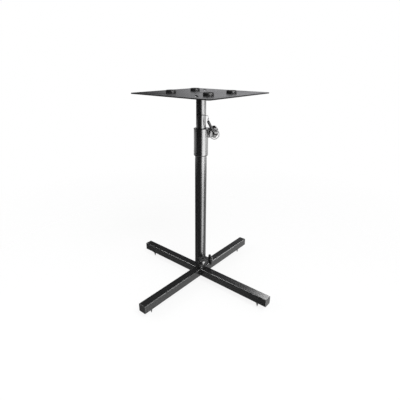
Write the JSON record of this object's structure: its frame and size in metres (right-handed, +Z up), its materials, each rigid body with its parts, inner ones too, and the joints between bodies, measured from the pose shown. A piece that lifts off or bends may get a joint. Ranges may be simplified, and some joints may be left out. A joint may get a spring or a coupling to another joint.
{
  "type": "studio monitor stand",
  "caption": "Free-standing monitor stand: square slotted plate with rubber pads on a clamped sliding mast, over a column and a spiked cross base.",
  "frame": {"origin": "on the floor at the spike tips, under the middle of the column", "axes": "+Z up along the column, +X along the front right leg, -Y along the front left leg of the picture"},
  "size_m": [0.55, 0.55, 0.653],
  "materials": {
    "powder_coat": "satin black powder coat",
    "black_plastic": "fine moulded grain",
    "nylon": "plain moulded nylon",
    "zinc_steel": "zinc plated",
    "black_steel": "black oxide",
    "bright_steel": "bright wire",
    "pad_rubber": "smooth moulded rubber"
  },
  "bodies": {
    "base": {"base_beam_long": "powder_coat", "base_beam_left": "powder_coat", "base_beam_right": "powder_coat", "leg_end_caps": "black_plastic", "spike_inserts": "zinc_steel", "spike_lock_nuts": "zinc_steel", "spigot": "powder_coat", "spigot_washer": "zinc_steel", "spigot_bolt": "zinc_steel"},
    "column": {"column_tube": "powder_coat", "foot_boss_right": "powder_coat", "foot_boss_front": "powder_coat", "clamp_collar": "black_plastic", "collar_liner": "nylon", "clamp_nut": "zinc_steel", "collar_set_screw": "zinc_steel"},
    "carriage": {"guide_bush": "black_plastic"},
    "mast": {"mast_tube": "powder_coat", "mast_foot_plug": "black_plastic", "retainer_washer": "zinc_steel", "retainer_screw": "zinc_steel", "mast_plug": "black_plastic", "plate_flange": "powder_coat", "top_plate": "powder_coat", "plate_screw": "black_steel", "flange_screws": "black_steel", "pad_left": "pad_rubber", "pad_front": "pad_rubber", "pad_right": "pad_rubber", "pad_back": "pad_rubber", "pad_screws": "black_steel", "tether_anchor": "black_plastic", "tether": "bright_steel", "tether_ferrule": "bright_steel"},
    "lock_pin": {"lock_pin": "black_steel"},
    "pin_ring": {"pin_ring": "bright_steel"},
    "clamp_shoe": {"clamp_shoe": "nylon"},
    "clamp_knob": {"clamp_knob": "black_plastic", "clamp_stud": "zinc_steel"},
    "foot_right_shoe": {"foot_right_shoe": "nylon"},
    "foot_right_knob": {"foot_right_knob": "black_plastic", "foot_right_stud": "zinc_steel"},
    "foot_front_shoe": {"foot_front_shoe": "nylon"},
    "foot_front_knob": {"foot_front_knob": "black_plastic", "foot_front_stud": "zinc_steel"},
    "spike_front_right": {"spike_front_right": "zinc_steel"},
    "spike_back_right": {"spike_back_right": "zinc_steel"},
    "spike_back_left": {"spike_back_left": "zinc_steel"},
    "spike_front_left": {"spike_front_left": "zinc_steel"}
  },
  "joints": [
    {"name": "column_lift", "type": "slide", "parent": "base", "child": "column", "axis": [0, 0, 1], "range_m": [0, 0.06]},
    {"name": "mast_height", "type": "slide", "parent": "column", "child": "carriage", "axis": [0, 0, 1], "range_m": [-0.036, 0.2]},
    {"name": "mast_swivel", "type": "hinge", "parent": "carriage", "child": "mast", "pos_m": [0, 0, 0.6], "axis": [0, 0, 1], "range_deg": [-210, 0]},
    {"name": "pin_swing", "type": "hinge", "parent": "mast", "child": "lock_pin", "pos_m": [0.03034, -0.00274, 0.565], "axis": [0.766, -0.6428, 0], "range_deg": [-30, 30]},
    {"name": "ring_flip", "type": "hinge", "parent": "lock_pin", "child": "pin_ring", "pos_m": [0.03894, 0.00752, 0.53928], "axis": [0.5702, 0.6795, 0.4617], "range_deg": [-90, 0]},
    {"name": "clamp_press", "type": "slide", "parent": "column", "child": "clamp_shoe", "axis": [0.6428, 0.766, 0], "range_m": [0, 0.0025]},
    {"name": "clamp_turn", "type": "hinge", "parent": "clamp_shoe", "child": "clamp_knob", "pos_m": [0, 0, 0.531], "axis": [0.6428, 0.766, 0], "range_deg": [0, 725]},
    {"name": "foot_right_press", "type": "slide", "parent": "column", "child": "foot_right_shoe", "axis": [0.6428, 0.766, 0], "range_m": [0, 0.0025]},
    {"name": "foot_right_turn", "type": "hinge", "parent": "foot_right_shoe", "child": "foot_right_knob", "pos_m": [0, 0, 0.074], "axis": [0.6428, 0.766, 0], "range_deg": [0, 725]},
    {"name": "foot_front_press", "type": "slide", "parent": "column", "child": "foot_front_shoe", "axis": [0.766, -0.6428, 0], "range_m": [0, 0.0025]},
    {"name": "foot_front_turn", "type": "hinge", "parent": "foot_front_shoe", "child": "foot_front_knob", "pos_m": [0, 0, 0.088], "axis": [0.766, -0.6428, 0], "range_deg": [0, 725]},
    {"name": "spike_front_right_level", "type": "slide", "parent": "base", "child": "spike_front_right", "axis": [0, 0, 1], "range_m": [-0.008, 0.004]},
    {"name": "spike_back_right_level", "type": "slide", "parent": "base", "child": "spike_back_right", "axis": [0, 0, 1], "range_m": [-0.008, 0.004]},
    {"name": "spike_back_left_level", "type": "slide", "parent": "base", "child": "spike_back_left", "axis": [0, 0, 1], "range_m": [-0.008, 0.004]},
    {"name": "spike_front_left_level", "type": "slide", "parent": "base", "child": "spike_front_left", "axis": [0, 0, 1], "range_m": [-0.008, 0.004]}
  ],
  "couplings": [
    {"joint": "clamp_turn", "follows": "clamp_press", "rad_per_m": 5026.5},
    {"joint": "foot_right_turn", "follows": "foot_right_press", "rad_per_m": 5026.5},
    {"joint": "foot_front_turn", "follows": "foot_front_press", "rad_per_m": 5026.5}
  ]
}
